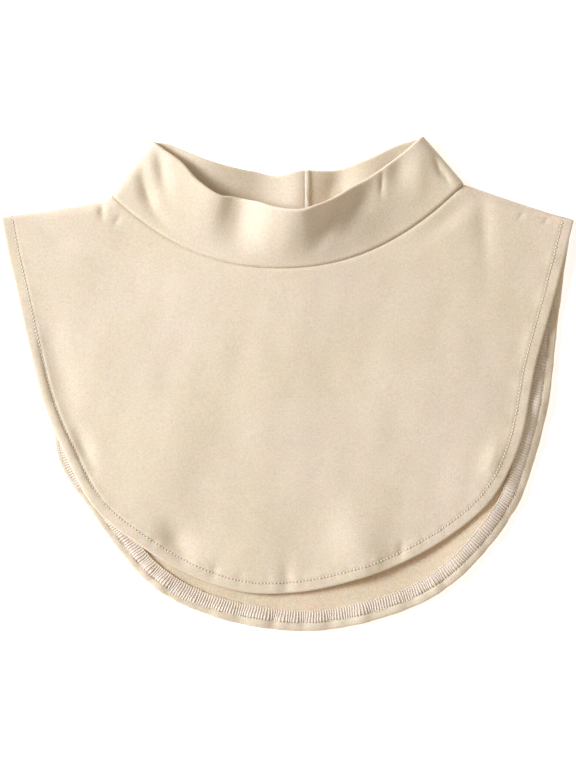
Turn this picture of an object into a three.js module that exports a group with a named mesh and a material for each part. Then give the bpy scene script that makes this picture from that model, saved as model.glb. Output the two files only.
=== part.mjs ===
// A turtleneck dickey of brushed jersey, lying on its back with its front panel up.
// +X is the wearer's left, +Y runs from the hems to the collar, and +Z points up from the surface.

import * as THREE from 'three';

// Driving sizes, in millimetres
const SHOULDER_SPAN = 380; // between the outer shoulder corners
const FRONT_LENGTH = 249.5; // shoulder corners to the front hem
const BACK_LENGTH = 274; // shoulder corners to the back hem
const SHOULDER_RISE = 19; // neck sides above the shoulder corners
const NECK_LEAN = 3.9; // one neck side lies this much higher than their middle
const NECK_WIDTH = 231; // between the neck sides, along the seam
const FRONT_NECK_DROP = 51.5; // neck sides down to the front seam's lowest point
const BACK_NECK_DROP = 37; // neck sides down to the back seam's lowest point
const RIM_WIDTH = 177.5; // between the two tips of the folded rim
const COLLAR_HEIGHT = 48; // seam to rim, measured on the cloth
const FOLD_RADIUS = 3.2; // of the collar's side folds, at the middle of its wall
const SEAM_LIFT = 7; // rise of the front neck seam at the centre
const SEAM_HUMP = 2.5; // how closely that rise keeps to the centre
const LOFT = 3; // air that stands under the front panel's middle
const EDGE_LIFT = 4; // most that the front hem lifts off what lies below it
const HEM_WAVE = 2.5; // most that the back hem waves off the surface
const SHOULDER_ROLL = 7; // width over which the front rolls down to the shoulder seam
const SHOULDER_DIP = 3; // most that the first shoulder line sags below a straight one
const FRONT_HEM = 9; // turned-under edge of the front panel
const BACK_HEM = 13; // turned-up edge of the back panel
const CLOTH = 1.2; // one layer of jersey
const LAYER_GAP = 0.3; // between the two layers of the collar
const GAP = 0.3; // between one piece and the next
const CREAM = 0xeddcc4;

// Shapes of its curves
const FRONT_NECK_CURVE = 2.2; // power of the front seam's U
const BACK_NECK_CURVE = 2.4; // power of the back seam's U
const FRONT_WALL_LEAN = 0.55; // sine of the collar's slope over its front seam
const DRAPE_EASE = 1.6; // how quickly the front falls away from the neck
const BELLY = 0.05; // swell of the collar's front wall, as a share of its height

// Sizes that follow from them
const COLLAR_WALL = 2 * CLOTH + LAYER_GAP;
const BACK_WALL_LEVEL = COLLAR_WALL / 2 + GAP / 2;
const FOLD_LEVEL = BACK_WALL_LEVEL + FOLD_RADIUS;
const SEAM_LEVEL = CLOTH + GAP + CLOTH / 2;
const FRONT_EDGE_LEVEL = 3 * CLOTH + 4 * GAP + CLOTH / 2;
const UNCOVERED = BACK_LENGTH - FRONT_LENGTH;

// Front hem line from the left shoulder corner round to the right one: across as a share of half
// the span, down of the front's length, lift of the edge's most
const FRONT_EDGE = [
  { across: -1.000, down: 0.000, lift: 0.05 },
  { across: -0.979, down: 0.085, lift: 0.10 },
  { across: -0.947, down: 0.191, lift: 0.20 },
  { across: -0.909, down: 0.324, lift: 0.25 },
  { across: -0.857, down: 0.484, lift: 0.30 },
  { across: -0.788, down: 0.612, lift: 0.20 },
  { across: -0.674, down: 0.771, lift: 0.10 },
  { across: -0.524, down: 0.866, lift: 0.05 },
  { across: -0.337, down: 0.951, lift: 0.15 },
  { across: -0.145, down: 0.996, lift: 0.10 },
  { across: 0.044, down: 0.995, lift: 0.05 },
  { across: 0.200, down: 0.971, lift: 0.15 },
  { across: 0.370, down: 0.928, lift: 0.35 },
  { across: 0.566, down: 0.846, lift: 0.50 },
  { across: 0.715, down: 0.745, lift: 0.75 },
  { across: 0.810, down: 0.600, lift: 1.00 },
  { across: 0.865, down: 0.393, lift: 0.85 },
  { across: 0.937, down: 0.194, lift: 0.45 },
  { across: 1.000, down: 0.006, lift: 0.10 },
];

// Back hem line, the same way: down is a share of the back's length, wave of the hem's most
const BACK_EDGE = [
  { across: -0.992, down: 0.006, wave: 0.00 },
  { across: -0.940, down: 0.175, wave: 0.00 },
  { across: -0.889, down: 0.343, wave: 0.00 },
  { across: -0.850, down: 0.453, wave: 0.00 },
  { across: -0.812, down: 0.540, wave: 0.00 },
  { across: -0.714, down: 0.683, wave: 0.00 },
  { across: -0.616, down: 0.780, wave: 0.10 },
  { across: -0.497, down: 0.868, wave: 0.50 },
  { across: -0.393, down: 0.925, wave: 0.10 },
  { across: -0.222, down: 0.973, wave: 0.10 },
  { across: -0.016, down: 0.998, wave: 0.40 },
  { across: 0.127, down: 0.998, wave: 0.10 },
  { across: 0.309, down: 0.973, wave: 0.50 },
  { across: 0.490, down: 0.925, wave: 0.20 },
  { across: 0.630, down: 0.852, wave: 0.60 },
  { across: 0.794, down: 0.707, wave: 0.30 },
  { across: 0.861, down: 0.586, wave: 0.10 },
  { across: 0.913, down: 0.440, wave: 0.30 },
  { across: 0.942, down: 0.271, wave: 0.10 },
  { across: 0.968, down: 0.128, wave: 0.00 },
  { across: 0.994, down: 0.012, wave: 0.00 },
];

// The collar's rim over its front half: across as a share of half the width, rise along +Y from the
// seam and lift off it as shares of the collar's height
const FRONT_RIM = [
  { across: -1.00, rise: 0.744, lift: 0.04 },
  { across: -0.93, rise: 0.790, lift: 0.14 },
  { across: -0.79, rise: 0.868, lift: 0.20 },
  { across: -0.67, rise: 0.806, lift: 0.22 },
  { across: -0.50, rise: 0.787, lift: 0.22 },
  { across: -0.40, rise: 0.846, lift: 0.23 },
  { across: -0.23, rise: 0.862, lift: 0.33 },
  { across: -0.10, rise: 0.803, lift: 0.42 },
  { across: 0.09, rise: 0.745, lift: 0.50 },
  { across: 0.20, rise: 0.767, lift: 0.45 },
  { across: 0.29, rise: 0.789, lift: 0.38 },
  { across: 0.47, rise: 0.840, lift: 0.21 },
  { across: 0.60, rise: 0.825, lift: 0.14 },
  { across: 0.68, rise: 0.807, lift: 0.12 },
  { across: 0.80, rise: 0.765, lift: 0.11 },
  { across: 0.89, rise: 0.715, lift: 0.10 },
  { across: 0.96, rise: 0.672, lift: 0.08 },
  { across: 1.00, rise: 0.644, lift: 0.04 },
];

// The same over its back half
const BACK_RIM = [
  { across: -1.00, rise: 0.744, lift: 0.04 },
  { across: -0.87, rise: 0.904, lift: 0.07 },
  { across: -0.60, rise: 1.000, lift: 0.07 },
  { across: -0.26, rise: 1.017, lift: 0.12 },
  { across: -0.08, rise: 0.963, lift: 0.13 },
  { across: 0.11, rise: 1.020, lift: 0.13 },
  { across: 0.35, rise: 0.948, lift: 0.12 },
  { across: 0.53, rise: 0.926, lift: 0.12 },
  { across: 0.80, rise: 0.854, lift: 0.07 },
  { across: 1.00, rise: 0.644, lift: 0.04 },
];

// Dents and swells of the collar's front wall: place and reach as shares of half the width and of
// the height, depth as a share of the height, with a swell's depth below nothing
const COLLAR_DENTS = [
  { across: -0.72, up: 0.45, wide: 0.08, tall: 0.40, depth: 0.05 },
  { across: -0.56, up: 0.60, wide: 0.10, tall: 0.45, depth: -0.05 },
  { across: -0.38, up: 0.70, wide: 0.08, tall: 0.40, depth: 0.08 },
  { across: -0.17, up: 0.60, wide: 0.09, tall: 0.45, depth: -0.04 },
  { across: 0.27, up: 0.60, wide: 0.12, tall: 0.35, depth: 0.07 },
  { across: 0.66, up: 0.70, wide: 0.08, tall: 0.40, depth: -0.04 },
  { across: 0.80, up: 0.75, wide: 0.05, tall: 0.35, depth: 0.05 },
];

// Hollows and swells of the front panel: centre across as a share of half the span, down of the
// front's length, reach as shares of the front's length, depth of the air under the panel
const PANEL_DENTS = [
  { across: -0.66, down: 0.20, wide: 0.09, tall: 0.25, depth: 0.50 },
  { across: -0.30, down: 0.35, wide: 0.15, tall: 0.30, depth: -0.40 },
  { across: 0.30, down: 0.25, wide: 0.10, tall: 0.30, depth: 0.40 },
  { across: 0.62, down: 0.30, wide: 0.08, tall: 0.30, depth: -0.50 },
  { across: 0.30, down: 0.75, wide: 0.10, tall: 0.12, depth: -0.45 },
  { across: -0.55, down: 0.72, wide: 0.08, tall: 0.08, depth: 0.45 },
];

// How finely the cloth is faceted, as shares along each direction, and where a panel's rows enter
// its hem
const HEM_START = 0.8;
const PANEL_COLUMNS = shares([0, 0.004, 0.012], 40);
const FRONT_ROWS = 11;
const BACK_ROWS = 8;
const COLLAR_COLUMNS = 64;
const COLLAR_ROWS = [0, 0.16, 0.32, 0.48, 0.64, 0.8, 0.93];
const LINING_ROWS = [0, 0.32, 0.64, 0.93];
const RIM_STEPS = 4;

function shares(ends, count) {
  const inner = ends[ends.length - 1];
  const middle = [];
  for (let i = 1; i < count; i += 1) {
    middle.push(inner + (1 - 2 * inner) * i / count);
  }
  const tail = ends.map((share) => 1 - share).reverse();
  return [...ends, ...middle, ...tail];
}

function lerp(a, b, share) {
  return a + (b - a) * share;
}

function smooth(low, high, value) {
  return THREE.MathUtils.smoothstep(value, low, high);
}

// Smooth reading of a table's column at a place across, through every row
function readTable(rows, column, across) {
  let k = 0;
  while (k < rows.length - 2 && rows[k + 1].across < across) {
    k += 1;
  }
  const slope = (i) => {
    const before = rows[Math.max(i - 1, 0)];
    const after = rows[Math.min(i + 1, rows.length - 1)];
    return (after[column] - before[column]) / (after.across - before.across);
  };
  const span = rows[k + 1].across - rows[k].across;
  const s = THREE.MathUtils.clamp((across - rows[k].across) / span, 0, 1);
  const start = rows[k][column] * (1 + 2 * s) * (1 - s) ** 2;
  const end = rows[k + 1][column] * (3 - 2 * s) * s ** 2;
  const bend = slope(k) * s * (1 - s) ** 2 - slope(k + 1) * s ** 2 * (1 - s);
  return start + end + bend * span;
}

// Sum of rounded dents at a place, each one fading out from its centre
function dentsAt(rows, across, up) {
  let depth = 0;
  for (const row of rows) {
    const x = (across - row.across) / row.wide;
    const y = (up - (row.up ?? row.down)) / row.tall;
    depth += row.depth * Math.exp(-x * x - y * y);
  }
  return depth;
}

// A hem line as a curve in the plane, with its height above the surface as Z
function hemLine(rows, length, height) {
  const points = rows.map((row) => new THREE.Vector3(
    row.across * SHOULDER_SPAN / 2,
    -row.down * length,
    height(row),
  ));
  return new THREE.CatmullRomCurve3(points, false, 'centripetal');
}

// The neck seam in the plane: a U that drops between the two neck sides
function neckSeam(across, drop, power) {
  const fall = drop * (1 - Math.abs(across) ** power);
  return new THREE.Vector2(
    across * NECK_WIDTH / 2,
    SHOULDER_RISE + NECK_LEAN * across - fall,
  );
}

const frontSeam = (across) => neckSeam(across, FRONT_NECK_DROP, FRONT_NECK_CURVE);
const backSeam = (across) => neckSeam(across, BACK_NECK_DROP, BACK_NECK_CURVE);

// A panel's cut edge along the seam, kept clear of the collar's wall by its gap
function neckEdge(seam, lean, across) {
  const step = 0.002;
  const from = seam(Math.max(across - step, -1));
  const to = seam(Math.min(across + step, 1));
  const along = to.sub(from).normalize();
  const clear = GAP + COLLAR_WALL / 2 * Math.max(lean, Math.abs(across) ** 6);
  const point = seam(across);
  return new THREE.Vector2(point.x + along.y * clear, point.y - along.x * clear);
}

// Height of the collar's front seam above the surface, at the middle of the cloth: a hump that is
// steepest between its middle and its ends
function seamHeight(across) {
  return FOLD_LEVEL + FOLD_RADIUS + SEAM_LIFT * Math.max(1 - across ** 2, 0) ** SEAM_HUMP;
}

// Share of the way from the neck to the edge, with the last rows inside the hem's width
function fanShare(v, length, hem) {
  const inner = 1 - hem / length;
  if (v < HEM_START) {
    return inner * v / HEM_START;
  }
  return lerp(inner, 1, (v - HEM_START) / (1 - HEM_START));
}

// Sag of the first shoulder line beside the neck, fading over the panel
function shoulderDip(u, share) {
  return SHOULDER_DIP * smooth(0, 0.14, share) * (1 - share) * (1 - smooth(0, 0.2, u));
}

// Middle of the front panel's cloth: a fan of lines from the neck seam to the hem
const frontLine = hemLine(FRONT_EDGE, FRONT_LENGTH, (row) => FRONT_EDGE_LEVEL + EDGE_LIFT * row.lift);

function frontPanelAt(u, v) {
  const across = 2 * u - 1;
  const neck = neckEdge(frontSeam, FRONT_WALL_LEAN, across);
  const edge = frontLine.getPointAt(u);
  const length = Math.hypot(edge.x - neck.x, edge.y - neck.y);
  const share = fanShare(v, length, FRONT_HEM);
  const x = lerp(neck.x, edge.x, share);
  const y = lerp(neck.y, edge.y, share) - shoulderDip(u, share);
  const drape = lerp(seamHeight(across), edge.z, 1 - (1 - share) ** DRAPE_EASE);
  const inside = Math.sin(Math.PI * share) * Math.sin(Math.PI * u);
  const dents = dentsAt(PANEL_DENTS, x / (SHOULDER_SPAN / 2), -y / FRONT_LENGTH);
  const high = drape + LOFT * (1 - dents) * inside;
  const fromShoulder = Math.min(u, 1 - u) * lerp(NECK_WIDTH, 2 * FRONT_LENGTH + SHOULDER_SPAN, share);
  const roll = Math.min(fromShoulder / SHOULDER_ROLL, 1);
  const low = lerp(SEAM_LEVEL, edge.z, smooth(1 - 4 * FRONT_HEM / length, 1, share));
  return new THREE.Vector3(x, y, lerp(low, high, Math.sqrt(1 - (1 - roll) ** 2)));
}

// Middle of the back panel's cloth: flat on the surface, waving only along its hem
const backLine = hemLine(BACK_EDGE, BACK_LENGTH, (row) => HEM_WAVE * row.wave);

function backPanelAt(u, v) {
  const neck = neckEdge(backSeam, 0, 2 * u - 1);
  const edge = backLine.getPointAt(u);
  const length = Math.hypot(edge.x - neck.x, edge.y - neck.y);
  const share = fanShare(v, length, BACK_HEM);
  const wave = Math.max(edge.z, 0) * smooth(1 - UNCOVERED / length, 1, share);
  return new THREE.Vector3(
    lerp(neck.x, edge.x, share),
    lerp(neck.y, edge.y, share) - shoulderDip(u, share),
    CLOTH / 2 + wave,
  );
}

// Middle of the collar's wall. turn goes once round, the front half first from left to right, and
// up goes from the seam to the rim. The side folds are half circles of the fold's radius.
function collarAt(turn, up) {
  const angle = 2 * Math.PI * turn;
  const across = -Math.cos(angle);
  const inFront = turn < 0.5;
  const fromSide = Math.asin(Math.min(Math.abs(Math.sin(angle)), 1));
  const steep = Math.sqrt(NECK_WIDTH / (2 * FOLD_RADIUS));
  const fold = FOLD_RADIUS * Math.sin(Math.min(fromSide * steep, Math.PI / 2));
  const seam = inFront ? frontSeam(across) : backSeam(across);
  const rim = inFront ? FRONT_RIM : BACK_RIM;
  const rise = COLLAR_HEIGHT * readTable(rim, 'rise', across);
  const lift = COLLAR_HEIGHT * readTable(rim, 'lift', across);
  const arch = inFront ? seamHeight(across) - FOLD_LEVEL - FOLD_RADIUS : 0;
  const dents = inFront ? COLLAR_HEIGHT * dentsAt(COLLAR_DENTS, across, up) : 0;
  const belly = inFront ? BELLY * COLLAR_HEIGHT * Math.sin(Math.PI * Math.min(up, 1)) : 0;
  const middle = fromSide / (Math.PI / 2);
  return new THREE.Vector3(
    across * lerp(NECK_WIDTH, RIM_WIDTH, up) / 2,
    seam.y + rise * up,
    FOLD_LEVEL + (inFront ? fold : -fold) + arch + lift * up + (belly - dents * up) * middle,
  );
}

// A place moved off the middle surface along its normal
function offCloth(place, u, v, offset) {
  const step = 1e-4;
  const alongU = place(Math.min(u + step, 1), v).sub(place(Math.max(u - step, 0), v));
  const alongV = place(u, Math.min(v + step, 1)).sub(place(u, Math.max(v - step, 0)));
  const normal = alongV.cross(alongU).normalize();
  return place(u, v).addScaledVector(normal, offset);
}

// One closed skin over a run of loops with equally many points, joined end to end or capped
function skinOver(loops, closed) {
  const count = loops[0].length;
  const positions = loops.flat().flatMap((point) => point.toArray());
  const faces = [];
  const quad = (a, b, c, d) => faces.push(a, b, c, a, c, d);
  const last = closed ? loops.length : loops.length - 1;
  for (let i = 0; i < last; i += 1) {
    const here = i * count;
    const next = (i + 1) % loops.length * count;
    for (let j = 0; j < count; j += 1) {
      const k = (j + 1) % count;
      quad(here + j, next + j, next + k, here + k);
    }
  }
  if (!closed) {
    const end = (loops.length - 1) * count;
    for (let j = 0; j < count / 2 - 1; j += 1) {
      const back = count - 1 - j;
      quad(j, j + 1, back - 1, back);
      quad(end + back, end + back - 1, end + j + 1, end + j);
    }
  }
  const geometry = new THREE.BufferGeometry();
  geometry.setAttribute('position', new THREE.Float32BufferAttribute(positions, 3));
  geometry.setIndex(signedVolume(positions, faces) < 0 ? faces.reverse() : faces);
  geometry.computeVertexNormals();
  return geometry;
}

function signedVolume(positions, faces) {
  const corner = (i) => new THREE.Vector3().fromArray(positions, 3 * i);
  let volume = 0;
  for (let i = 0; i < faces.length; i += 3) {
    volume += corner(faces[i]).dot(corner(faces[i + 1]).cross(corner(faces[i + 2]))) / 6;
  }
  return volume;
}

// A wall of cloth between two offsets of one surface
function clothWall(place, columns, rows, low, high) {
  const loops = columns.map((u) => [
    ...rows.map((v) => offCloth(place, u, v, high)),
    ...[...rows].reverse().map((v) => offCloth(place, u, v, low)),
  ]);
  return skinOver(loops, false);
}

// The doubled band: its outer layer, round the rim's fold, its inner layer, and the slit between
function doubledBand() {
  const half = COLLAR_WALL / 2;
  const slit = LAYER_GAP / 2;
  const roundRim = [];
  for (let i = 0; i <= RIM_STEPS; i += 1) {
    const angle = Math.PI * i / RIM_STEPS;
    roundRim.push([1 + half / COLLAR_HEIGHT * (Math.sin(angle) - 1), half * Math.cos(angle)]);
  }
  const profile = [
    ...COLLAR_ROWS.map((up) => [up, half]),
    ...roundRim,
    ...[...COLLAR_ROWS].reverse().map((up) => [up, -half]),
    ...LINING_ROWS.map((up) => [up, -slit]),
    ...[...LINING_ROWS].reverse().map((up) => [up, slit]),
  ];
  const loops = [];
  for (let i = 0; i < COLLAR_COLUMNS; i += 1) {
    const turn = (i + 0.5) / COLLAR_COLUMNS;
    loops.push(profile.map(([up, offset]) => offCloth(collarAt, turn, up, offset)));
  }
  return skinOver(loops, true);
}

function jersey(shade) {
  const colour = new THREE.Color(CREAM).multiplyScalar(shade);
  return new THREE.MeshStandardMaterial({ color: colour, roughness: 0.95, metalness: 0 });
}

function piece(name, geometry, shade) {
  const mesh = new THREE.Mesh(geometry, jersey(shade));
  mesh.name = name;
  return mesh;
}

function evenRows(count, from) {
  const rows = [];
  for (let i = 0; i <= count; i += 1) {
    rows.push(lerp(from, 1, i / count));
  }
  return rows;
}

// Rows of a panel: over the field up to the hem's inner line, then across the hem
function panelRows(count) {
  const field = evenRows(count, 0).slice(0, -1).map((row) => HEM_START * row);
  return [...field, ...HEM_ROWS];
}

const HEM_ROWS = evenRows(2, HEM_START);
const hemColumns = PANEL_COLUMNS.slice(1, -1);
const half = CLOTH / 2;
const dickey = new THREE.Group();
dickey.add(
  piece('back_panel', clothWall(backPanelAt, PANEL_COLUMNS, panelRows(BACK_ROWS), -half, half), 0.96),
  piece('back_hem', clothWall(backPanelAt, hemColumns, HEM_ROWS, half + GAP, half + GAP + CLOTH), 1),
  piece('front_hem', clothWall(frontPanelAt, hemColumns, HEM_ROWS, -half - GAP - CLOTH, -half - GAP), 0.98),
  piece('front_panel', clothWall(frontPanelAt, PANEL_COLUMNS, panelRows(FRONT_ROWS), -half, half), 1),
  piece('collar', doubledBand(), 1),
);

// The origin is under the middle of the whole dickey, on the surface
const box = new THREE.Box3().setFromObject(dickey);
const centre = box.getCenter(new THREE.Vector3());
dickey.position.set(-centre.x, -centre.y, -box.min.z);

export default dickey;
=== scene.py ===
"""A turtleneck dickey of brushed jersey, lying on its back on a pale table, in metres in its own frame.

Every cloth piece is one strip of jersey, folded over once at its hem or rim, laid along a surface of two
parameters. Lengths here are millimetres until a mesh is made.
"""

import math

import bpy
import numpy as np
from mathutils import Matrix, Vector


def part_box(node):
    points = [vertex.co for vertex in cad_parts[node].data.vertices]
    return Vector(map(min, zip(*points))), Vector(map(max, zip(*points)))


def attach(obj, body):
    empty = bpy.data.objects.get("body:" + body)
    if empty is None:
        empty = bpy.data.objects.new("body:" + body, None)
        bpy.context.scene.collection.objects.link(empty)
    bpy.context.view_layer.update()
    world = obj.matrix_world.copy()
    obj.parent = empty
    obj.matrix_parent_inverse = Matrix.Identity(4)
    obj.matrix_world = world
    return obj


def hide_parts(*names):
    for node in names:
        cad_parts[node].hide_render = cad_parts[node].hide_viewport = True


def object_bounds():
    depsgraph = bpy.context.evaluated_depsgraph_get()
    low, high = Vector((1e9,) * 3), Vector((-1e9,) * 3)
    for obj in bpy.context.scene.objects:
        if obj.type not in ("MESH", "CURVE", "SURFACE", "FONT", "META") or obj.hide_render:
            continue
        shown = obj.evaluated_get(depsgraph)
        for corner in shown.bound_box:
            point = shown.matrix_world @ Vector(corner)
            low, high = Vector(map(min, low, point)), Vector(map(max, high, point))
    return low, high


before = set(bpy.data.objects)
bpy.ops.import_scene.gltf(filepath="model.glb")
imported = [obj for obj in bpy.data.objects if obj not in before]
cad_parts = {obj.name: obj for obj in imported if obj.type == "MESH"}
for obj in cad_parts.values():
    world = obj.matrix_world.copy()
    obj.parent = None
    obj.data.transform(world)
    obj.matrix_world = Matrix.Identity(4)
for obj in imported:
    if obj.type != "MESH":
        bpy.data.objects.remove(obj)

cad_low, cad_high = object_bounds()

MM = 0.001

# Driving sizes, in millimetres
SPAN = 380.0  # between the outer shoulder corners
FRONT_LENGTH = 249.5  # shoulder corners to the front hem
BACK_LENGTH = 274.0  # shoulder corners to the back hem
SHOULDER_RISE = 19.0  # neck sides above the shoulder corners
NECK_LEAN = 3.9  # one neck side lies this much higher than their middle
NECK_WIDTH = 231.0  # between the neck sides, along the seam
FRONT_NECK_DROP = 51.5  # neck sides down to the front seam's lowest point
BACK_NECK_DROP = 37.0  # neck sides down to the back seam's lowest point
RIM_WIDTH = 177.5  # between the two tips of the folded rim
COLLAR_HEIGHT = 48.0  # seam to rim, measured on the cloth
FOLD_RADIUS = 3.2  # of the collar's side folds, at the middle of its wall
SEAM_LIFT = 7.0  # rise of the front neck seam at the centre
LOFT = 3.0  # air that stands under the front bib's middle
EDGE_LIFT = 4.0  # most that the front hem lifts off what lies below it
EDGE_TILT = 3.6  # fall of the back hem at the right, down to its edge
FALL_REACH = 14.0  # strip of the back bib that falls so
HEM_WAVE = 2.5  # most that the back hem waves off the surface
SHOULDER_ROLL = 7.0  # width over which the front rolls down to the shoulder seam
SHOULDER_DIP = 3.0  # most that the first shoulder line sags below a straight one
FRONT_HEM = 9.0  # turned-under edge of the front bib
BACK_HEM = 13.0  # turned-up edge of the back bib
CLOTH = 1.2  # one layer of jersey
LAYER_GAP = 0.3  # between two layers folded together
GAP = 0.3  # between one piece and the next
FRONT_STITCH_LINE = 7.3  # front hem's stitches, in from its edge
BACK_NEEDLE_LINE = 5.4  # back hem's needle line, in from its edge, at the middle and the right
NEEDLE_AFTER_JOIN = 3.4  # the same just right of where the overlock's two ends meet
NEEDLE_BEFORE_JOIN = 4.8  # the same left of there
NEEDLE_FAR_LEFT = 2.4  # the same at the far left
LADDER_JOIN = -83.0  # across from the middle, where the overlock's two ends meet
LADDER_STEP = 1.85  # one bar of the overlock ladder to the next
SEAMED_STITCHES = 12  # overlock stitches that each shoulder seam takes in
BAR_THREAD = 0.82  # thickness of the overlock's bars
RETURN_THREAD = 0.45  # of the thin returns between them
LOOP_THREAD = 0.66  # of the loops along the cut edge
NEEDLE_THREAD = 0.60  # of the needle line
STITCH_STEP = 2.4  # one front stitch to the next
STITCH_LENGTH = 1.7  # of one front stitch
STITCH_THREAD = 0.95  # thickness of the front stitches
STITCH_SEAT = 0.02  # their middle lies this much above the cloth's face
SEAM_ROLL = 1.6  # radius by which the collar's wall rolls down into the neck seam
BIB_SEAM_ROLL = 3.2  # the same for the bib
SEAM_TUCK = 0.4  # how far a bib's cut edge reaches into the collar's wall that it is sewn to
SEAM_RIDGE = 13.2  # ridge of the collar's centre-back seam, across from the middle
SEAM_GROOVE = 11.6  # groove beside it
NECK_STRIP = 6.0  # strip beside the neck seam with close rows
NECK_END = 0.1  # share of a bib's rows that lie in that strip
BAND = 15.0  # strip beside a hem's edge whose rows run square to it
BAND_START = 0.7  # share of a bib's rows that lie before that strip
BACK_SEAM_SHARE = 0.12  # place of the centre-back seam, as a share of half the collar's width
FAR_FROM_STITCHES = 50.0  # what the neck band's hem map says everywhere, because it has no stitch line

# Shapes of its curves
FRONT_NECK_CURVE = 2.2  # power of the front neck seam's U
BACK_NECK_CURVE = 2.4  # power of the back one's
FRONT_WALL_LEAN = 0.55  # share of the wall's thickness that lies across the front seam in the plane
DRAPE_EASE = 1.6  # power by which the front bib falls to its hem
ARCH_POWER = 2.5  # power of the front seam's hump
WALL_HOLLOW = 1.35  # power by which the collar's wall rises off its seam

# Stretches of a hem's line, as shares of it: where each comes in and where it goes out again
PUFFED_HEM = ((0.10, 0.16), (0.26, 0.31))  # the front hem puffs out at the lower left
FALLING_EDGE = ((0.62, 0.72), (0.80, 0.90))  # the back bib falls to its edge at the right

# Sizes that follow from them
COLLAR_WALL = 2 * CLOTH + LAYER_GAP
BACK_WALL_LEVEL = COLLAR_WALL / 2 + GAP / 2
FOLD_LEVEL = BACK_WALL_LEVEL + FOLD_RADIUS
SEAM_LEVEL = CLOTH + GAP + CLOTH / 2
FRONT_EDGE_LEVEL = 3 * CLOTH + 4 * GAP + CLOTH / 2
UNCOVERED = BACK_LENGTH - FRONT_LENGTH
TURN_RADIUS = (CLOTH + LAYER_GAP) / 2  # of the middle of the cloth where it folds over

# Front hem line from the left shoulder corner round to the right one: across as a share of half the
# span, down of the front's length, lift of the edge's most
FRONT_EDGE = [
    (-1.000, 0.000, 0.05), (-0.979, 0.085, 0.10), (-0.947, 0.191, 0.20), (-0.909, 0.324, 0.25),
    (-0.857, 0.484, 0.30), (-0.788, 0.612, 0.32), (-0.674, 0.771, 0.30), (-0.524, 0.866, 0.50),
    (-0.337, 0.951, 0.15), (-0.145, 0.996, 0.10), (0.044, 0.995, 0.05), (0.200, 0.971, 0.05),
    (0.370, 0.928, 0.15), (0.566, 0.846, 0.35), (0.715, 0.745, 0.75), (0.810, 0.600, 1.00),
    (0.865, 0.393, 0.85), (0.937, 0.194, 0.45), (1.000, 0.006, 0.10),
]

# Back hem line, the same way: across, down of the back's length, wave of the hem's most
BACK_EDGE = [
    (-0.992, 0.006, 0.00), (-0.940, 0.175, 0.00), (-0.889, 0.343, 0.00), (-0.850, 0.453, 0.00),
    (-0.819, 0.521, 0.00), (-0.810, 0.564, 0.00), (-0.791, 0.603, 0.00), (-0.757, 0.644, 0.00),
    (-0.717, 0.680, 0.00), (-0.616, 0.780, 0.10), (-0.510, 0.868, 0.45), (-0.401, 0.924, 1.00),
    (-0.222, 0.973, 0.30), (-0.016, 0.998, 0.40), (0.127, 0.998, 0.10), (0.309, 0.973, 0.50),
    (0.490, 0.925, 0.20), (0.630, 0.852, 0.60), (0.794, 0.707, 0.30), (0.861, 0.586, 0.10),
    (0.913, 0.440, 0.30), (0.942, 0.271, 0.10), (0.968, 0.128, 0.00), (0.994, 0.012, 0.00),
]

# The collar's rim over its front half: across as a share of half the width, rise along +Y from the
# seam and lift off it as shares of the collar's height
FRONT_RIM = [
    (-1.00, 0.744, 0.04), (-0.93, 0.790, 0.13), (-0.79, 0.868, 0.17), (-0.67, 0.806, 0.197),
    (-0.50, 0.787, 0.24), (-0.40, 0.846, 0.24), (-0.23, 0.862, 0.33), (-0.10, 0.803, 0.41),
    (0.09, 0.745, 0.49), (0.20, 0.767, 0.46), (0.29, 0.789, 0.39), (0.47, 0.840, 0.24),
    (0.60, 0.825, 0.16), (0.68, 0.807, 0.13), (0.80, 0.765, 0.11), (0.89, 0.715, 0.10),
    (0.96, 0.672, 0.08), (1.00, 0.644, 0.04),
]

# The same over its back half
BACK_RIM = [
    (-1.00, 0.744, 0.04), (-0.87, 0.904, 0.09), (-0.60, 1.000, 0.18), (-0.26, 1.017, 0.09),
    (-0.08, 0.963, 0.10), (0.11, 1.020, 0.12), (0.35, 0.948, 0.12), (0.53, 0.926, 0.12),
    (0.80, 0.854, 0.07), (1.00, 0.644, 0.04),
]

# Folds of the collar's front wall: place as shares of half the whole width and half the whole
# length from the frame's origin, half-widths along and over the fold in millimetres, how far the
# fold is turned from across in degrees, and its height in millimetres, below nothing for a valley
COLLAR_FOLDS = [
    (-0.438, 0.873, 14.0, 5.0, 100.0, -3.2),
    (-0.490, 0.776, 16.0, 5.0, 104.0, -3.4),
    (-0.445, 0.655, 10.0, 4.0, 134.0, -2.0),
    (-0.152, 0.707, 23.0, 13.0, 84.0, -9.0),
    (0.002, 0.598, 14.0, 7.0, 80.0, 1.0),
    (0.134, 0.655, 16.0, 7.0, 66.0, -4.2),
    (0.232, 0.711, 18.0, 8.0, 56.0, -4.5),
    (0.326, 0.808, 8.0, 1.8, 88.0, -1.2),
    (0.386, 0.865, 12.0, 7.0, 80.0, -2.0),
    (0.459, 0.857, 16.0, 6.0, 85.0, 1.0),
    (0.525, 0.885, 9.0, 2.8, 110.0, -2.4),
    (0.557, 0.833, 7.0, 2.4, 110.0, -1.8),
]

# Swells of its back wall, the same way
BACK_COLLAR_SWELLS = [
    (-0.075, 0.800, 20.0, 13.0, 90.0, -2.4),
    (0.037, 0.784, 20.0, 9.0, 90.0, 3.0),
    (0.176, 0.792, 20.0, 9.0, 84.0, -4.6),
    (0.288, 0.825, 20.0, 13.0, 80.0, 2.2),
]

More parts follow.
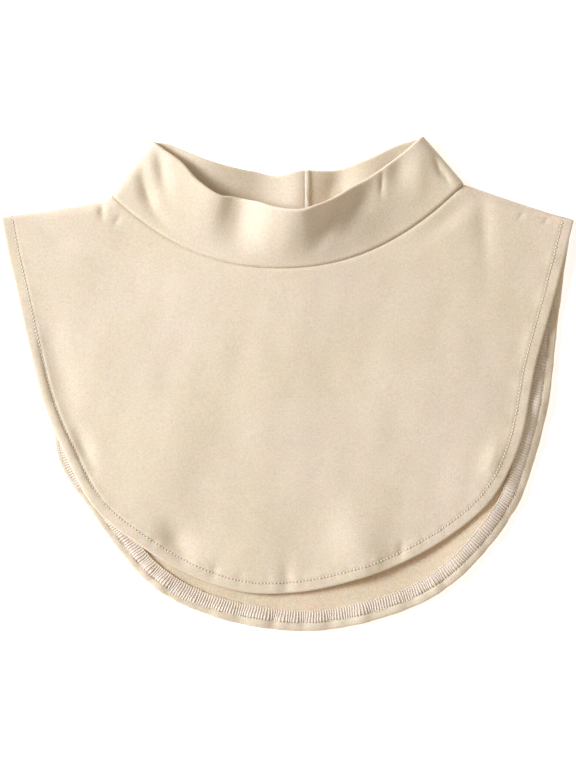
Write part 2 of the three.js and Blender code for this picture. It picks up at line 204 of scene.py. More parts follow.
# Folds of the front bib, the same way
BIB_FOLDS = [
    (-0.647, 0.699, 5.0, 2.5, 92.0, -1.6),
    (-0.595, 0.659, 4.0, 2.0, 60.0, -0.8),
    (-0.386, -0.635, 12.0, 9.0, 128.0, -4.0),
    (-0.466, -0.639, 4.0, 3.0, 60.0, -1.0),
    (-0.794, 0.049, 34.0, 9.0, 103.0, -2.2),
    (-0.710, -0.255, 14.0, 5.0, 115.0, -2.4),
    (-0.005, -0.792, 10.0, 4.0, 88.0, -1.8),
    (0.246, -0.663, 26.0, 16.0, 95.0, 3.4),
    (0.396, -0.675, 6.0, 3.0, 80.0, -1.6),
    (0.714, -0.307, 12.0, 6.0, 70.0, 2.0),
    (0.686, 0.631, 25.0, 6.0, 92.0, -1.4),
    (0.560, 0.671, 22.0, 6.0, 39.0, -1.2),
    (-0.794, 0.574, 10.0, 4.0, 162.0, -0.8),
    (0.815, 0.679, 3.0, 1.5, 45.0, -0.6),
    (0.902, 0.659, 3.0, 1.5, 45.0, -0.6),
    (-0.253, -0.760, 6.0, 3.0, 75.0, -0.9),
    (-0.166, -0.792, 6.0, 3.0, 80.0, -0.8),
]


def eased(low, high, value):
    """A step from 0 at low to 1 at high, level at both ends."""
    share = np.clip((value - low) / (high - low), 0, 1)
    return share * share * (3 - 2 * share)


def within(stretch, value):
    """A step up to 1 and down again over a stretch, given as two pairs of places."""
    coming, going = stretch
    return eased(*coming, value) * (1 - eased(*going, value))


def mixed(a, b, share):
    """The value that lies a share of the way from a to b."""
    return a + (b - a) * share


def read_table(rows, column, across):
    """Smooth reading of a table's column: cubic pieces through every row, whose slopes at a row are
    those between its neighbours."""
    table = np.array(rows)
    places, values = table[:, 0], table[:, column]
    at = np.arange(len(rows))
    before, after = np.maximum(at - 1, 0), np.minimum(at + 1, len(rows) - 1)
    slopes = (values[after] - values[before]) / (places[after] - places[before])
    k = np.clip(np.searchsorted(places, across, side="left") - 1, 0, len(rows) - 2)
    span = places[k + 1] - places[k]
    s = np.clip((across - places[k]) / span, 0, 1)
    start = values[k] * (1 + 2 * s) * (1 - s) ** 2
    end = values[k + 1] * (3 - 2 * s) * s**2
    bend = slopes[k] * s * (1 - s) ** 2 - slopes[k + 1] * s**2 * (1 - s)
    return start + end + bend * span


def folds_at(rows, x, y):
    """Sum of long soft folds: each one a bell across it and along it, turned by its angle."""
    height = 0.0
    for across, along, length, width, turn, depth in rows:
        dx, dy = x - across * HALF_WIDTH, y - along * HALF_LENGTH
        c, s = math.cos(math.radians(turn)), math.sin(math.radians(turn))
        far = ((dx * c + dy * s) / length) ** 2 + ((dy * c - dx * s) / width) ** 2
        height = height + depth * np.exp(-far)
    return height


def rolled(distance, radius):
    """How far cloth sinks where it rolls down into a seam: a quarter circle, upright at the seam."""
    near = 1 - np.clip(distance / radius, 0, 1)
    return radius * (1 - np.sqrt(1 - near**2))


def kept_above(height, ease):
    """The height, levelled out over a soft bend so that it never falls below nothing."""
    return (height + np.sqrt(height**2 + ease**2)) / 2


def ripples(x, y, wavelength, seed):
    """Gentle unevenness from about -1 to 1: the sum of sixteen sine waves of near wavelengths, each in
    a direction of its own."""
    random = np.random.default_rng(seed)
    height = 0.0
    for _ in range(16):
        angle, phase = random.uniform(0, 2 * math.pi, 2)
        pace = 2 * math.pi / (wavelength * random.uniform(0.7, 1.5))
        height = height + np.sin(pace * (x * math.cos(angle) + y * math.sin(angle)) + phase)
    return height / 6.0


class HemLine:
    """A hem's edge: the curve through the table's places by centripetal cubic pieces, read by the
    share of its own length, with the direction into the bib at each place."""

    def __init__(self, rows, length, height):
        places = np.array([(across * SPAN / 2, -down * length, height(lift)) for across, down, lift in rows])
        places = np.vstack([2 * places[0] - places[1], places, 2 * places[-1] - places[-2]])
        p0, p1, p2, p3 = places[:-3], places[1:-2], places[2:-1], places[3:]
        pairs = ((p0, p1), (p1, p2), (p2, p3))
        d0, d1, d2 = (np.sqrt(np.linalg.norm(b - a, axis=1))[:, None] for a, b in pairs)
        t1 = ((p1 - p0) / d0 - (p2 - p0) / (d0 + d1) + (p2 - p1) / d1) * d1
        t2 = ((p2 - p1) / d1 - (p3 - p1) / (d1 + d2) + (p3 - p2) / d2) * d1
        s = np.linspace(0, 1, 40, endpoint=False)[None, :, None]
        cubic = p1[:, None] + t1[:, None] * s
        cubic = cubic + (3 * (p2 - p1) - 2 * t1 - t2)[:, None] * s**2
        cubic = cubic + (2 * (p1 - p2) + t1 + t2)[:, None] * s**3
        self.points = np.vstack([cubic.reshape(-1, 3), p2[-1:]])
        steps = np.linalg.norm(np.diff(self.points, axis=0), axis=1)
        self.walked = np.concatenate([[0], np.cumsum(steps)])
        self.length = self.walked[-1]
        along = np.gradient(self.points[:, :2], self.walked, axis=0)
        along /= np.linalg.norm(along, axis=1)[:, None]
        self.inward = np.column_stack([-along[:, 1], along[:, 0]])

    def _read(self, columns, u):
        at = np.clip(u, 0, 1) * self.length
        return [np.interp(at, self.walked, column) for column in columns.T]

    def at(self, u):
        return self._read(self.points, u)

    def into(self, u):
        return self._read(self.inward, u)


front_line = HemLine(FRONT_EDGE, FRONT_LENGTH, lambda lift: FRONT_EDGE_LEVEL + EDGE_LIFT * lift)
back_line = HemLine(BACK_EDGE, BACK_LENGTH, lambda wave: HEM_WAVE * wave)

# Half the whole size, and where the frame's origin lies from the level of the shoulder corners
HALF_WIDTH = cad_high[0] / MM
HALF_LENGTH = cad_high[1] / MM
ORIGIN_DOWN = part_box("back_panel")[0][1] / MM - back_line.points[:, 1].min()


def neck_seam(across, drop, power):
    """The neck seam in the plane: a U that drops between the two neck sides."""
    fall = drop * (1 - np.abs(across) ** power)
    return across * NECK_WIDTH / 2, SHOULDER_RISE + NECK_LEAN * across - fall


def neck_edge(across, drop, power, lean):
    """A bib's cut edge along the seam, moved out square to it so that it meets the collar's wall."""
    step = 0.002
    x0, y0 = neck_seam(np.maximum(across - step, -1), drop, power)
    x1, y1 = neck_seam(np.minimum(across + step, 1), drop, power)
    along = np.hypot(x1 - x0, y1 - y0)
    clear = COLLAR_WALL / 2 * np.maximum(lean, np.abs(across) ** 6) - SEAM_TUCK
    x, y = neck_seam(across, drop, power)
    return x + (y1 - y0) / along * clear, y - (x1 - x0) / along * clear


def seam_arch(across):
    """Rise of the front seam over its ends: a hump that is steepest between its middle and its sides."""
    return SEAM_LIFT * np.maximum(1 - across**2, 0) ** ARCH_POWER


def seam_height(across):
    """Height of the collar's front seam at the middle of its cloth: highest at the centre front."""
    return FOLD_LEVEL + FOLD_RADIUS + seam_arch(across)


def fan(u, v, neck, line):
    """A bib in the plane: straight lines spread from the neck seam to a line set in from the hem's edge
    by the band, then cross the band square to the edge. Rows are even in millimetres over a strip
    beside the seam and over the band. Gives x, y, the edge's height, the distance from the edge and the
    whole way from the neck to the edge."""
    edge_x, edge_y, edge_z = line.at(u)
    in_x, in_y = line.into(u)
    inner_x, inner_y = edge_x + in_x * BAND, edge_y + in_y * BAND
    reach = np.hypot(inner_x - neck[0], inner_y - neck[1])
    strip = NECK_STRIP / reach
    field = np.clip(mixed(strip, 1, (v - NECK_END) / (BAND_START - NECK_END)), 0, 1)
    field = np.where(v < NECK_END, strip * np.maximum(v, 0) / NECK_END, field)
    over = np.clip((v - BAND_START) / (1 - BAND_START), 0, 1.2)
    x = mixed(neck[0], inner_x, field) - in_x * BAND * over
    y = mixed(neck[1], inner_y, field) - in_y * BAND * over
    from_edge = BAND * (1 - over) + reach * (1 - field)
    return x, y, edge_z, from_edge, reach + BAND


def shoulder_dip(u, share):
    """Sag of the first shoulder line beside the neck, fading over the bib."""
    return SHOULDER_DIP * eased(0, 0.14, share) * (1 - share) * (1 - eased(0, 0.2, u))


def hem_relief(from_edge, walked, line_in, puff, depth, pucker, seed):
    """Relief of a stitched hem: a puffed strip outside its stitch line, a groove along the line, a
    faint ridge just inside it, and puckers that run square to the edge on both sides."""
    outer = puff * np.sin(math.pi * np.clip(from_edge / line_in, 0, 1))
    groove = -depth * np.exp(-(((from_edge - line_in) / 0.9) ** 2))
    ridge = 0.12 * np.exp(-(((from_edge - line_in - 2.2) / 1.4) ** 2))
    near = np.exp(-(((from_edge - line_in) / 5.0) ** 2))
    wave = ripples(walked, from_edge * 0.2, 9.0, seed)
    wave = wave + 1.4 * ripples(walked, from_edge * 0.3, 21.0, seed + 30)
    return outer + groove + ridge + wave * pucker * near


def front_bib_at(u, v):
    """Middle of the front bib's cloth: it falls from the neck seam to the hem by a power of the way,
    lifts a little in its middle, rolls down to the neck seam and the shoulder seams by quarter
    circles, and carries the folds, the hem's relief and a gentle unevenness."""
    across = 2 * u - 1
    neck = neck_edge(across, FRONT_NECK_DROP, FRONT_NECK_CURVE, FRONT_WALL_LEAN)
    x, y, edge_z, from_edge, reach = fan(u, v, neck, front_line)
    share = 1 - from_edge / reach
    y = y - shoulder_dip(u, share)
    drape = mixed(seam_height(across), edge_z, 1 - np.maximum(1 - share, 0) ** DRAPE_EASE)
    inside = np.sin(math.pi * share) * np.sin(math.pi * u)
    high = drape + LOFT * inside
    frame_y = y + ORIGIN_DOWN
    soft = np.clip(np.minimum(share, 1 - share) * 8, 0, 1) * np.clip(np.sin(math.pi * u) * 6, 0, 1)
    uneven = 0.55 * ripples(x, frame_y, 70.0, 3) + 0.16 * ripples(x, frame_y, 24.0, 4)
    high = high + folds_at(BIB_FOLDS, x, frame_y) + uneven * soft
    puffed = within(PUFFED_HEM, u)
    puff, depth = 0.10 + 0.8 * puffed, 0.12 + 0.5 * puffed
    high = high + hem_relief(from_edge, u * front_line.length, FRONT_STITCH_LINE, puff, depth, 0.28, 5)
    high = high - rolled(reach - from_edge, BIB_SEAM_ROLL)
    from_shoulder = np.minimum(u, 1 - u) * mixed(NECK_WIDTH, 2 * FRONT_LENGTH + SPAN, share)
    roll = np.minimum(from_shoulder / SHOULDER_ROLL, 1)
    low = mixed(SEAM_LEVEL, edge_z, eased(1 - 4 * FRONT_HEM / reach, 1, share))
    return np.stack([x, y, mixed(low, high, np.sqrt(1 - (1 - roll) ** 2))], axis=-1)


def front_needle_inset(u):
    """How far in from the front hem's edge its stitches run: the same all the way."""
    return np.full_like(u, FRONT_STITCH_LINE)


def back_needle_inset(u):
    """How far in from the back hem's edge its needle line runs: close to the edge at the far left,
    with a step where the overlock's two ends meet, and easing to its usual place after that."""
    x = back_line.at(u)[0]
    before = mixed(NEEDLE_FAR_LEFT, NEEDLE_BEFORE_JOIN, eased(-150, -112, x))
    after = mixed(NEEDLE_AFTER_JOIN, BACK_NEEDLE_LINE, eased(LADDER_JOIN, -20, x))
    return np.where(x < LADDER_JOIN, before, after)


def back_bib_at(u, v):
    """Middle of the back bib's cloth: flat on the surface, waving along its hem, with the hem's relief
    where it shows. At the right it stands a little higher and falls to its edge by a quarter sine."""
    neck = neck_edge(2 * u - 1, BACK_NECK_DROP, BACK_NECK_CURVE, 0)
    x, y, edge_z, from_edge, reach = fan(u, v, neck, back_line)
    share = 1 - from_edge / reach
    wave = np.maximum(edge_z, 0) * eased(1 - UNCOVERED / reach, 1, share)
    shown = eased(0.2, 0.32, u)
    walked = u * back_line.length
    rolls = 0.5 + 0.7 * ripples(walked, 0, 34.0, 8) * np.exp(-((from_edge / 14.0) ** 2))
    relief = (rolls + hem_relief(from_edge, walked, back_needle_inset(u), 0.2, 0.3, 0.8, 6)) * shown
    near_edge = 1 - eased(UNCOVERED, 2.2 * UNCOVERED, from_edge)
    bend = np.sin(math.pi / 2 * np.clip(from_edge / FALL_REACH, 0, 1))
    relief = relief + EDGE_TILT * bend * near_edge * within(FALLING_EDGE, u)
    high = CLOTH / 2 + wave + np.maximum(relief, 0)
    return np.stack(np.broadcast_arrays(x, y - shoulder_dip(u, share), high), axis=-1)


def collar_at(turn, up):
    """Middle of the collar's doubled wall. turn goes once round, the front half first from left to
    right, and up goes from the seam to the rim. Both walls meet in half circles at the side folds.
    The wall rises off the seam as up to the power WALL_HOLLOW, which leaves it a little hollow, and
    carries its folds in front and its swells and centre-back seam behind."""
    angle = 2 * math.pi * turn
    across = -np.cos(angle)
    in_front = (turn % 1) < 0.5
    from_side = np.arcsin(np.minimum(np.abs(np.sin(angle)), 1))
    steep = math.sqrt(NECK_WIDTH / (2 * FOLD_RADIUS))
    fold = FOLD_RADIUS * np.sin(np.minimum(from_side * steep, math.pi / 2))
    _, front_y = neck_seam(across, FRONT_NECK_DROP, FRONT_NECK_CURVE)
    _, back_y = neck_seam(across, BACK_NECK_DROP, BACK_NECK_CURVE)
    front_rise, back_rise = read_table(FRONT_RIM, 1, across), read_table(BACK_RIM, 1, across)
    front_lift, back_lift = read_table(FRONT_RIM, 2, across), read_table(BACK_RIM, 2, across)
    rise = np.where(in_front, front_rise, back_rise) * COLLAR_HEIGHT
    lift = np.where(in_front, front_lift, back_lift) * COLLAR_HEIGHT * np.maximum(up, 0) ** WALL_HOLLOW
    arch = np.where(in_front, seam_arch(across), 0)
    middle = from_side / (math.pi / 2)
    x = across * mixed(NECK_WIDTH, RIM_WIDTH, up) / 2
    y = np.where(in_front, front_y, back_y) + rise * up
    frame_y = y + ORIGIN_DOWN
    front_folds = folds_at(COLLAR_FOLDS, x, frame_y) * eased(0, 0.25, middle) * eased(0.0, 0.35, up)
    ridge = 1.3 * np.exp(-(((x - SEAM_RIDGE) / 0.9) ** 2))
    groove = 0.4 * np.exp(-(((x - SEAM_GROOVE) / 0.7) ** 2))
    back_swells = folds_at(BACK_COLLAR_SWELLS, x, frame_y) * eased(0, 0.3, middle) * eased(0.0, 0.3, up)
    ease = 0.6 * eased(0, 0.2, up) * eased(0, 0.3, middle)
    sunk = rolled(up * COLLAR_HEIGHT, SEAM_ROLL)
    front_z = fold + arch + lift + front_folds - sunk
    back_z = -fold + kept_above(lift + back_swells, ease) + (ridge - groove) + sunk
    return np.stack([x, y, FOLD_LEVEL + np.where(in_front, front_z, back_z)], axis=-1)


def off_cloth(place, u, v, offset, side):
    """Places moved off a surface along its normal, which is the product of its two directions, taken
    with the sign of side. The collar goes right round, so its directions are read past both ends."""
    step = 1e-4
    lower, upper = np.maximum(u - step, 0), np.minimum(u + step, 1)
    if place is collar_at:
        lower, upper = u - step, u + step
    along_u = place(upper, v) - place(lower, v)
    along_v = place(u, v + step) - place(u, np.maximum(v - step, 0))
    normal = np.cross(along_u, along_v) * side
    normal /= np.maximum(np.linalg.norm(normal, axis=-1, keepdims=True), 1e-12)
    return place(u, v) + normal * np.asarray(offset)[..., None]


def folded_profile(out_rows, back_rows, middle, steps, per_mm):
    """Section of cloth folded over once: rows out to the fold, a half circle of the turn's radius, and
    rows back. Each has its place along, its offset from the surface, and the cloth's own normal in the
    section. middle is the fold's centre as an offset, per_mm how far along one millimetre is."""
    angle = np.linspace(0, math.pi, steps + 2)[1:-1]
    end = out_rows[-1]
    along = np.concatenate([out_rows, end + TURN_RADIUS * np.sin(angle) * per_mm, back_rows])
    offset = np.concatenate([
        np.full(len(out_rows), middle + TURN_RADIUS),
        middle + TURN_RADIUS * np.cos(angle),
        np.full(len(back_rows), middle - TURN_RADIUS),
    ])
    lean = np.concatenate([np.zeros(len(out_rows)), np.sin(angle), np.zeros(len(back_rows))])
    rise = np.concatenate([np.ones(len(out_rows)), np.cos(angle), -np.ones(len(back_rows))])
    return along, offset, lean, rise


def folded_cloth(place, columns, profile, per_mm, side, closed):
    """Closed wall of one layer of jersey that follows a folded section across every column. Gives its
    points, its four-sided faces and which faces show the right side of the cloth."""
    along, offset, lean, rise = profile
    half = CLOTH / 2
    v = np.concatenate([along + half * lean * per_mm, (along - half * lean * per_mm)[::-1]])
    off = np.concatenate([offset + half * rise, (offset - half * rise)[::-1]])
    u, v = np.meshgrid(columns, v, indexing="ij")
    points = off_cloth(place, u, v, np.broadcast_to(off, u.shape), side)
    count, rows = points.shape[:2]
    i = np.arange(count if closed else count - 1)[:, None]
    j = np.arange(rows)[None, :]
    here, there = i * rows, (i + 1) % count * rows
    after = (j + 1) % rows
    faces = np.stack([here + j, there + j, there + after, here + after], axis=-1).reshape(-1, 4)
    right_side = np.broadcast_to(j < rows // 2, (len(i), rows)).reshape(-1)
    if not closed:
        k = np.arange(rows // 2 - 1)
        cap = np.stack([k, k + 1, rows - 2 - k, rows - 1 - k], axis=-1)
        faces = np.vstack([faces, cap, (cap + (count - 1) * rows)[:, ::-1]])
        right_side = np.concatenate([right_side, np.ones(2 * len(k), bool)])
    points = points.reshape(-1, 3)
    return points, outward(points, faces), right_side, u.reshape(-1), v.reshape(-1)


def outward(points, faces):
    """The faces, turned over if the volume that they enclose comes out below nothing."""
    a, b, c, d = (points[faces[:, k]] for k in range(4))
    volume = np.einsum("ij,ij->", a, np.cross(b, c)) + np.einsum("ij,ij->", a, np.cross(c, d))
    return faces[:, ::-1] if volume < 0 else faces


def make_piece(name, points, faces, materials, slots=None, maps=None):
    """A smooth mesh object from whole arrays, in the part's frame, with a UV map for each named pair of
    columns and a material number for each face."""
    placed = (points + [0, ORIGIN_DOWN, 0]) * MM
    mesh = bpy.data.meshes.new(name)
    mesh.vertices.add(len(placed))
    mesh.vertices.foreach_set("co", placed.astype(np.float32).ravel())
    mesh.loops.add(faces.size)
    mesh.loops.foreach_set("vertex_index", faces.astype(np.int32).ravel())
    mesh.polygons.add(len(faces))
    mesh.polygons.foreach_set("loop_start", np.arange(0, faces.size, faces.shape[1], dtype=np.int32))
    for material in materials:
        mesh.materials.append(material)
    if slots is not None:
        mesh.polygons.foreach_set("material_index", slots.astype(np.int32))
    for key, places in (maps or {}).items():
        layer = mesh.uv_layers.new(name=key)
        layer.data.foreach_set("uv", (places[faces.ravel()] * MM).astype(np.float32).ravel())
    mesh.update(calc_edges=True)
    mesh.validate()
    mesh.shade_smooth()
    piece = bpy.data.objects.new(name, mesh)
    bpy.context.scene.collection.objects.link(piece)
    return piece


# Materials

# How many spots of each pattern go to a metre
GRAIN_SCALE = 760.0
FLUFF_SCALE = 2600.0
BLOTCH_SCALE = 55.0
DRIFT_SCALE = 13.0
FIBRE_SCALE = 3200.0
KNIT_SCALE = 196.0

PAINTED_HOLE_SHADE = -0.24  # painted shade that a needle hole's recess adds to the cloth's colour factor
PAINTED_HOLE_REACH = (0.0002, 0.0011)  # painted needle-hole shade: dark middle and faint rim, from the stitch line in metres


def node(tree, kind, **values):
    """A new node, with its inputs set by name and its settings by their own names."""
    made = tree.nodes.new(kind)
    for key, value in values.items():
        if key in made.inputs:
            made.inputs[key].default_value = value
        else:
            setattr(made, key, value)
    return made


def noise(tree, place, scale, detail, roughness=0.6):
    """Random pattern with so many spots to the metre, read at the given place."""
    made = node(tree, "ShaderNodeTexNoise", Scale=scale, Detail=detail, Roughness=roughness)
    tree.links.new(place, made.inputs["Vector"])
    return made.outputs["Fac"]


def ranged(tree, value, low, high, to_low, to_high):
    """A value carried from one range to another."""
    made = node(tree, "ShaderNodeMapRange")
    for key, number in (("From Min", low), ("From Max", high), ("To Min", to_low), ("To Max", to_high)):
        made.inputs[key].default_value = number
    tree.links.new(value, made.inputs["Value"])
    return made.outputs["Result"]


def combined(tree, operation, a, b):
    """Two values joined by an arithmetic operation."""
    made = node(tree, "ShaderNodeMath", operation=operation)
    for k, value in enumerate((a, b)):
        if isinstance(value, (int, float)):
            made.inputs[k].default_value = value
        else:
            tree.links.new(value, made.inputs[k])
    return made.outputs["Value"]


def scaled_colour(tree, colour, value):
    """A colour, lightened or darkened by a value."""
    made = node(tree, "ShaderNodeVectorMath", operation="SCALE")
    made.inputs[0].default_value = colour
    tree.links.new(value, made.inputs["Scale"])
    return made.outputs["Vector"]


def jersey(name, colour, rosier, nap, knit):
    """Brushed cotton jersey: a fine mottled nap over faint knitted columns, a little darker in its
    hollows, with soft blotches where the nap lies another way, a slow drift towards a rosier shade,
    and painted shade at the needle holes along the hem's stitch line, darkening the colour where their
    recesses would be shaded."""
    material = bpy.data.materials.new(name)
    material.use_nodes = True
    tree = material.node_tree
    shader = tree.nodes["Principled BSDF"]
    place = node(tree, "ShaderNodeTexCoord").outputs["Object"]
    grain = noise(tree, place, GRAIN_SCALE, 3.0, 0.7)
    fluff = noise(tree, place, FLUFF_SCALE, 2.0)
    blotch = noise(tree, place, BLOTCH_SCALE, 2.0)
    drift = ranged(tree, noise(tree, place, DRIFT_SCALE, 2.0), 0.35, 0.65, 0.0, 1.0)
    cloth_map = node(tree, "ShaderNodeUVMap", uv_map="cloth").outputs["UV"]
    rows = node(tree, "ShaderNodeTexWave", bands_direction="X", Scale=KNIT_SCALE, Distortion=1.5)
    rows.inputs["Detail Scale"].default_value = 300.0
    tree.links.new(cloth_map, rows.inputs["Vector"])
    shade = ranged(tree, grain, 0.3, 0.7, -nap, nap)
    shade = combined(tree, "ADD", shade, ranged(tree, blotch, 0.3, 0.7, -0.02, 0.02))
    shade = combined(tree, "ADD", shade, ranged(tree, fluff, 0.3, 0.7, -0.5 * nap, 0.5 * nap))
    # Painted shade: the colour is darkened at each needle hole along the hem's stitch line, for the shade in
    # its recess
    hem_map = node(tree, "ShaderNodeSeparateXYZ")
    tree.links.new(node(tree, "ShaderNodeUVMap", uv_map="hem").outputs["UV"], hem_map.inputs[0])
    beat = combined(tree, "COSINE", combined(tree, "MULTIPLY", hem_map.outputs["X"], 2 * math.pi), 0.0)
    off_line = combined(tree, "ABSOLUTE", hem_map.outputs["Y"], 0.0)
    on_line = ranged(tree, off_line, *PAINTED_HOLE_REACH, 1.0, 0.0)
    painted_hole_shade = combined(tree, "MULTIPLY", ranged(tree, beat, -0.2, 1.0, 0.0, PAINTED_HOLE_SHADE), on_line)
    shade = combined(tree, "ADD", combined(tree, "ADD", shade, painted_hole_shade), 1.0)
    both = node(tree, "ShaderNodeMix", data_type="VECTOR")
    tree.links.new(drift, both.inputs[0])
    tree.links.new(scaled_colour(tree, colour, shade), both.inputs[4])
    tree.links.new(scaled_colour(tree, rosier, shade), both.inputs[5])
    tree.links.new(both.outputs[1], shader.inputs["Base Color"])
    relief = combined(tree, "MULTIPLY", grain, 0.6)
    relief = combined(tree, "ADD", relief, combined(tree, "MULTIPLY", fluff, 0.4))
    relief = combined(tree, "ADD", relief, combined(tree, "MULTIPLY", rows.outputs["Fac"], knit))
    bump = node(tree, "ShaderNodeBump", Strength=0.35, Distance=0.0004)
    tree.links.new(relief, bump.inputs["Height"])
    tree.links.new(bump.outputs["Normal"], shader.inputs["Normal"])
    tree.links.new(ranged(tree, grain, 0.3, 0.7, 0.86, 0.98), shader.inputs["Roughness"])
    shader.inputs["Subsurface Weight"].default_value = 0.35
    shader.inputs["Subsurface Radius"].default_value = (1.0, 0.55, 0.3)
    shader.inputs["Subsurface Scale"].default_value = 0.0025
    shader.inputs["Sheen Weight"].default_value = 0.12
    shader.inputs["Sheen Roughness"].default_value = 0.5
    shader.inputs["Specular IOR Level"].default_value = 0.25
    return material


def thread(name, colour):
    """Spun sewing thread: a fine mottle of fibres, raised a little."""
    material = bpy.data.materials.new(name)
    material.use_nodes = True
    tree = material.node_tree
    shader = tree.nodes["Principled BSDF"]
    place = node(tree, "ShaderNodeTexCoord").outputs["Object"]
    fibre = noise(tree, place, FIBRE_SCALE, 2.0)
    shade = ranged(tree, fibre, 0.3, 0.7, 0.92, 1.06)
    tree.links.new(scaled_colour(tree, colour, shade), shader.inputs["Base Color"])
    bump = node(tree, "ShaderNodeBump", Strength=0.4, Distance=0.0002)
    tree.links.new(fibre, bump.inputs["Height"])
    tree.links.new(bump.outputs["Normal"], shader.inputs["Normal"])
    tree.links.new(ranged(tree, fibre, 0.3, 0.7, 0.6, 0.8), shader.inputs["Roughness"])
    shader.inputs["Specular IOR Level"].default_value = 0.3
    return material


brushed_face = jersey("brushed_face", (0.755, 0.648, 0.488), (0.772, 0.655, 0.525), nap=0.10, knit=0.12)
wrong_side = jersey("wrong_side", (0.702, 0.626, 0.462), (0.708, 0.622, 0.474), nap=0.12, knit=0.25)
sewing_thread = thread("sewing_thread", (0.89, 0.79, 0.69))
matching_thread = thread("matching_thread", (0.81, 0.70, 0.56))


# Cloth pieces

def graded(count, near, extra):
    """Shares from 0 to 1, evenly spread, with extra ones close to both ends."""
    ends = np.linspace(0, near, extra)
    return np.unique(np.round(np.concatenate([np.linspace(0, 1, count), ends, 1 - ends]), 9))


def bib(name, place, line, columns, field_rows, hem, needle_inset, side):
    """A bib: rows from the neck over the field and the band to the edge, the fold, and the turned hem
    back to its cut end."""
    per_mm = (1 - BAND_START) / BAND
    near_neck = np.linspace(0, 1, 15) ** 1.5 * NECK_END
    field = np.concatenate([near_neck, np.linspace(NECK_END, BAND_START, field_rows)[1:]])
    fold_at = 1 - (TURN_RADIUS + CLOTH / 2) * per_mm
    band = np.linspace(BAND_START, fold_at, 28)[1:]
    hem_rows = np.linspace(fold_at, 1 - hem * per_mm, 14)
    profile = folded_profile(np.concatenate([field, band]), hem_rows, -TURN_RADIUS, 7, per_mm)
    points, faces, right_side, u, v = folded_cloth(place, columns, profile, per_mm, side, False)
    slots = np.where(right_side, 0, 1)
    from_edge = np.clip(1 - v, 0, None) / per_mm
    # The hem map counts stitches one way and measures from the stitch line the other way, to place the
    # painted shade at the needle holes
    hem_map = np.column_stack([u * int(line.length / STITCH_STEP) / MM, from_edge - needle_inset(u)])
    maps = {"cloth": points[:, :2], "hem": hem_map}
    return make_piece(name, points, faces, [brushed_face, wrong_side], slots, maps)


front_columns = graded(330, 0.018, 10)
back_columns = graded(330, 0.018, 6)
front_bib = bib("front_bib", front_bib_at, front_line, front_columns, 62, FRONT_HEM, front_needle_inset, -1)
back_bib = bib("back_bib", back_bib_at, back_line, back_columns, 40, BACK_HEM, back_needle_inset, 1)


def neck_band():
    """The doubled neck band: its outer layer from the seam to the rim, the fold at the rim, and its
    inner layer back down to the seam, with close columns at the centre-back seam."""
    per_mm = 1 / COLLAR_HEIGHT
    fold_at = 1 - (TURN_RADIUS + CLOTH / 2) * per_mm
    rows = np.concatenate([np.linspace(0, 0.06, 6), np.linspace(0.06, fold_at, 40)[1:]])
    profile = folded_profile(rows, rows[::-1], 0.0, 9, per_mm)
    in_front, behind = 260, 130
    front = (np.arange(in_front) + 0.5) / (2 * in_front)
    back = 0.5 + (np.arange(behind) + 0.5) / (2 * behind)
    seam_turn = 1 - np.arccos(-BACK_SEAM_SHARE) / (2 * math.pi)
    close = seam_turn + np.linspace(-0.012, 0.012, 25)
    turns = np.unique(np.concatenate([front, back, close]))
    points, faces, right_side, turn, up = folded_cloth(collar_at, turns, profile, per_mm, 1, True)
    slots = np.where(right_side, 0, 1)
    cloth_map = np.column_stack([turn * 2 * NECK_WIDTH, up * COLLAR_HEIGHT])
    maps = {"cloth": cloth_map, "hem": np.full_like(cloth_map, FAR_FROM_STITCHES)}
    return make_piece("neck_band", points, faces, [brushed_face, wrong_side], slots, maps)


collar = neck_band()


# Threads

STITCH_SIDES = 6


def lay_stitches(centres, ups, thickness):
    """Short stitches joined into one mesh. Each is a round bar swept along its own row of centres,
    thinner at both ends. centres and ups are arrays of stitch by step by axis."""
    sides = STITCH_SIDES
    count, steps = centres.shape[:2]
    share = np.linspace(-1, 1, steps)
    girth = np.sqrt(np.clip(1 - share**4, 0.03, 1)) * thickness / 2
    turn = np.arange(sides) * 2 * math.pi / sides
    across = np.cross(np.gradient(centres, axis=1), ups)
    across /= np.linalg.norm(across, axis=-1, keepdims=True)
    spread = across[:, :, None] * np.cos(turn)[:, None] + ups[:, :, None] * np.sin(turn)[:, None]
    points = centres[:, :, None] + spread * girth[:, None, None]
    i, j = (k.ravel() for k in np.meshgrid(np.arange(steps - 1), np.arange(sides), indexing="ij"))
    k = (j + 1) % sides
    quads = np.stack([i * sides + j, i * sides + k, (i + 1) * sides + k, (i + 1) * sides + j], axis=-1)
    near = np.array([[0, 3, 2, 1], [0, 5, 4, 3]])  # a six-sided end as two faces
    far = (steps - 1) * sides + near[:, ::-1]
    one = np.vstack([quads, near, far])
    faces = (one[None] + (np.arange(count) * steps * sides)[:, None, None]).reshape(-1, 4)
    return points.reshape(-1, 3), faces


def stitch_runs(place, line, u, inset, offset, side, bow, steps=7):
    """Rows of centres for stitches on a hem: each runs from the first to the second of its two places
    along the hem and its two distances in from the edge, follows the cloth, and bows up in its middle."""
    share = np.linspace(0, 1, steps)
    along = mixed(u[0][:, None], u[1][:, None], share)
    inward = mixed(inset[0][:, None], inset[1][:, None], share)
    v = 1 - inward * (1 - BAND_START) / BAND
    spot = off_cloth(place, along, v, np.full_like(along, offset), side)
    ups = off_cloth(place, along, v, np.full_like(along, offset + math.copysign(1.0, offset)), side) - spot
    return spot + ups * (np.sin(math.pi * share) * bow)[:, None], ups


def thread_piece(name, groups, material):
    """One mesh from several groups of stitches, each with its thickness."""
    points, faces, count = [], [], 0
    for centres, ups, thickness in groups:
        some, quads = lay_stitches(centres, ups, thickness)
        points.append(some)
        faces.append(quads + count)
        count += len(some)
    points, faces = np.vstack(points), np.vstack(faces)
    return make_piece(name, points, outward(points, faces), [material])


